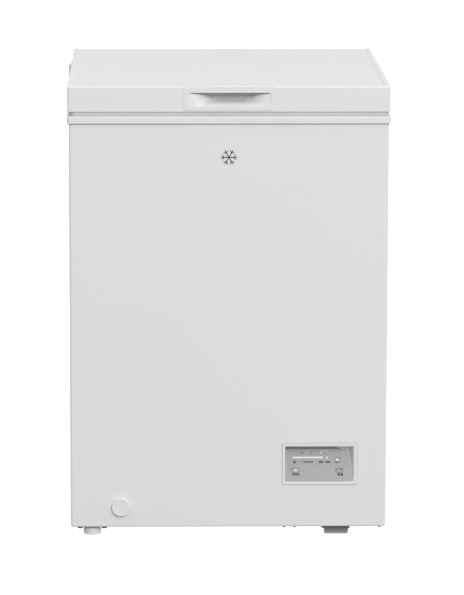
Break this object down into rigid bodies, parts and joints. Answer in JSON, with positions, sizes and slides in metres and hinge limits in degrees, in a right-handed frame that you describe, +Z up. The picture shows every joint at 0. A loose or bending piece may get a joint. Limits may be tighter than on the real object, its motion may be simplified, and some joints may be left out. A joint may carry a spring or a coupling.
{
  "type": "chest freezer",
  "caption": "White chest freezer with a top-hinged insulated lid, recessed grip, lower control panel, drain cap, wire basket and a compressor compartment at the lower right.",
  "frame": {"origin": "floor level, centre of the overall footprint", "axes": "+X to the right seen from the front, +Y from front to back, +Z up"},
  "size_m": [0.6264, 0.725, 0.862],
  "materials": {
    "white_paint": "satin",
    "liner_paint": "satin",
    "white_plastic": "satin",
    "handle_plastic": "satin",
    "grey_plastic": "matte",
    "fascia_grey": "satin",
    "dark_plastic": "matte",
    "zinc": "satin",
    "black_enamel": "gloss",
    "copper": "satin",
    "aluminium": "satin",
    "foam": "matte",
    "gasket_rubber": "matte",
    "dark_rubber": "matte",
    "light_rubber": "matte",
    "circuit_board": "satin",
    "lens": "gloss",
    "coated_wire": "satin",
    "emblem": "satin"
  },
  "bodies": {
    "cabinet": {"outer_shell": "white_paint", "back_panel": "zinc", "base_pan": "zinc", "inner_liner": "liner_paint", "insulation_foam": "foam", "top_frame": "white_plastic", "compartment_wall": "zinc", "compressor_base": "zinc", "compressor": "black_enamel", "compressor_grommets": "dark_rubber", "compressor_bolts": "zinc", "terminal_cover": "dark_plastic", "start_relay": "white_plastic", "suction_tube": "copper", "discharge_tube": "copper", "process_tube": "copper", "filter_drier": "copper", "capillary_tube": "copper", "condenser_coil": "copper", "evaporator_coil": "aluminium", "temperature_probe": "zinc", "control_housing": "white_plastic", "control_fascia": "fascia_grey", "control_board": "circuit_board", "indicator_windows": "lens", "wiring_loom": "dark_plastic", "drain_tube": "white_plastic", "rear_grille": "dark_plastic", "cord_inlet": "dark_rubber", "rear_screws": "zinc", "hinge_base_left": "zinc", "hinge_base_right": "zinc", "hinge_pins": "zinc", "hinge_cover_left": "grey_plastic", "hinge_cover_right": "grey_plastic", "foot_brackets": "dark_plastic", "right_feet": "dark_rubber", "base_screws": "dark_plastic", "snowflake_emblem": "emblem", "hinge_spring_left": "zinc", "hinge_spring_right": "zinc"},
    "basket": {"basket": "coated_wire"},
    "drain_cap": {"drain_cap": "white_plastic"},
    "drain_plug": {"drain_plug": "dark_rubber"},
    "set_button": {"set_button": "fascia_grey"},
    "fast_freeze_button": {"fast_freeze_button": "fascia_grey"},
    "front_left_foot": {"foot_front_left": "light_rubber"},
    "rear_left_foot": {"foot_rear_left": "light_rubber"},
    "left_plunger": {"hinge_plunger_left": "dark_plastic"},
    "right_plunger": {"hinge_plunger_right": "dark_plastic"},
    "lid": {"lid_panel": "white_paint", "lid_cap_left": "white_plastic", "lid_cap_right": "white_plastic", "lid_liner": "white_plastic", "lid_foam": "foam", "lid_gasket": "gasket_rubber", "lid_handle": "handle_plastic", "hinge_arm_left": "zinc", "hinge_arm_right": "zinc", "hinge_arm_screws": "zinc"}
  },
  "joints": [
    {"name": "lid_hinge", "type": "hinge", "parent": "cabinet", "child": "lid", "pos_m": [0, 0.352, 0.805], "axis": [-1, 0, 0], "range_deg": [0, 85], "stiffness_Nm_per_rad": 6, "springref_deg": 84.8},
    {"name": "left_plunger_slide", "type": "slide", "parent": "cabinet", "child": "left_plunger", "axis": [0, 0, 1], "range_m": [0, 0.0045], "deforming": ["hinge_spring_left"]},
    {"name": "right_plunger_slide", "type": "slide", "parent": "cabinet", "child": "right_plunger", "axis": [0, 0, 1], "range_m": [0, 0.0045], "deforming": ["hinge_spring_right"]},
    {"name": "basket_slide", "type": "slide", "parent": "cabinet", "child": "basket", "axis": [-1, 0, 0], "range_m": [0, 0.25]},
    {"name": "drain_cap_pull", "type": "slide", "parent": "cabinet", "child": "drain_cap", "axis": [0, -1, 0], "range_m": [0, 0.025]},
    {"name": "drain_plug_lift", "type": "slide", "parent": "cabinet", "child": "drain_plug", "axis": [0, 0, 1], "range_m": [0, 0.03]},
    {"name": "set_button_press", "type": "slide", "parent": "cabinet", "child": "set_button", "axis": [0, 0.9352, -0.354], "range_m": [0, 0.0006], "stiffness_N_per_m": 1200},
    {"name": "fast_freeze_press", "type": "slide", "parent": "cabinet", "child": "fast_freeze_button", "axis": [0, 0.9352, -0.354], "range_m": [0, 0.0006], "stiffness_N_per_m": 1200},
    {"name": "front_left_foot_screw", "type": "slide", "parent": "cabinet", "child": "front_left_foot", "axis": [0, 0, -1], "range_m": [0, 0.008]},
    {"name": "rear_left_foot_screw", "type": "slide", "parent": "cabinet", "child": "rear_left_foot", "axis": [0, 0, -1], "range_m": [0, 0.008]}
  ],
  "couplings": [
    {"joint": "left_plunger_slide", "follows": "lid_hinge", "m_per_rad": 0.0025},
    {"joint": "right_plunger_slide", "follows": "lid_hinge", "m_per_rad": 0.0025}
  ]
}
